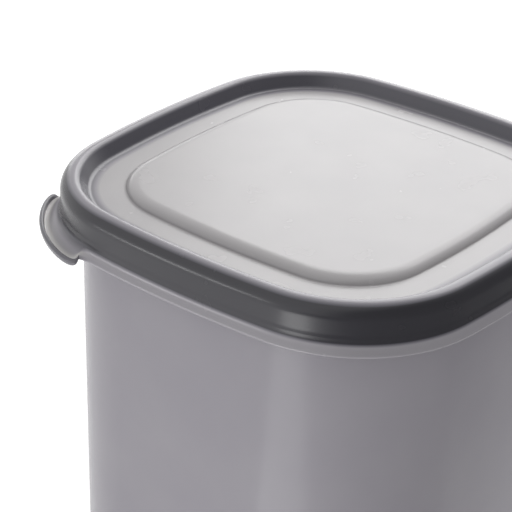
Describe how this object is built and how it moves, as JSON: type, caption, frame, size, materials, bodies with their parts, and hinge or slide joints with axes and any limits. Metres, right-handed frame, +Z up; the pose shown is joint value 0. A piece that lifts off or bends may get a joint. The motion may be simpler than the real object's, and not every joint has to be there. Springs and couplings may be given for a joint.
{
  "type": "dry food bin",
  "caption": "Square rounded dry food bin in smoke-tinted plastic with a soft press-on lid that peels off by a curled corner tab",
  "frame": {"origin": "on the surface the bin stands on, below the middle of the lid", "axes": "+Z up out of the bin; X and Y square to its four sides; the pull tab is at the corner towards -X and -Y"},
  "size_m": [0.172, 0.1749, 0.232],
  "materials": {
    "tub_plastic": "smoke-tinted clear moulding, polished outside, slightly hazy",
    "lid_plastic": "smoke-tinted soft moulding, satin to glossy"
  },
  "bodies": {
    "tub": {"bin_body": "tub_plastic"},
    "lid": {"lid": "lid_plastic"},
    "tab": {"pull_tab": "lid_plastic"}
  },
  "joints": [
    {"name": "lid_lift", "type": "slide", "parent": "tub", "child": "lid", "axis": [0, 0, 1], "range_m": [0, 0.2]},
    {"name": "tab_flex", "type": "hinge", "parent": "lid", "child": "tab", "pos_m": [-0.06469, -0.07331, 0.2153], "axis": [-0.7771, 0.6293, 0], "range_deg": [0, 50], "stiffness_Nm_per_rad": 0.05}
  ]
}
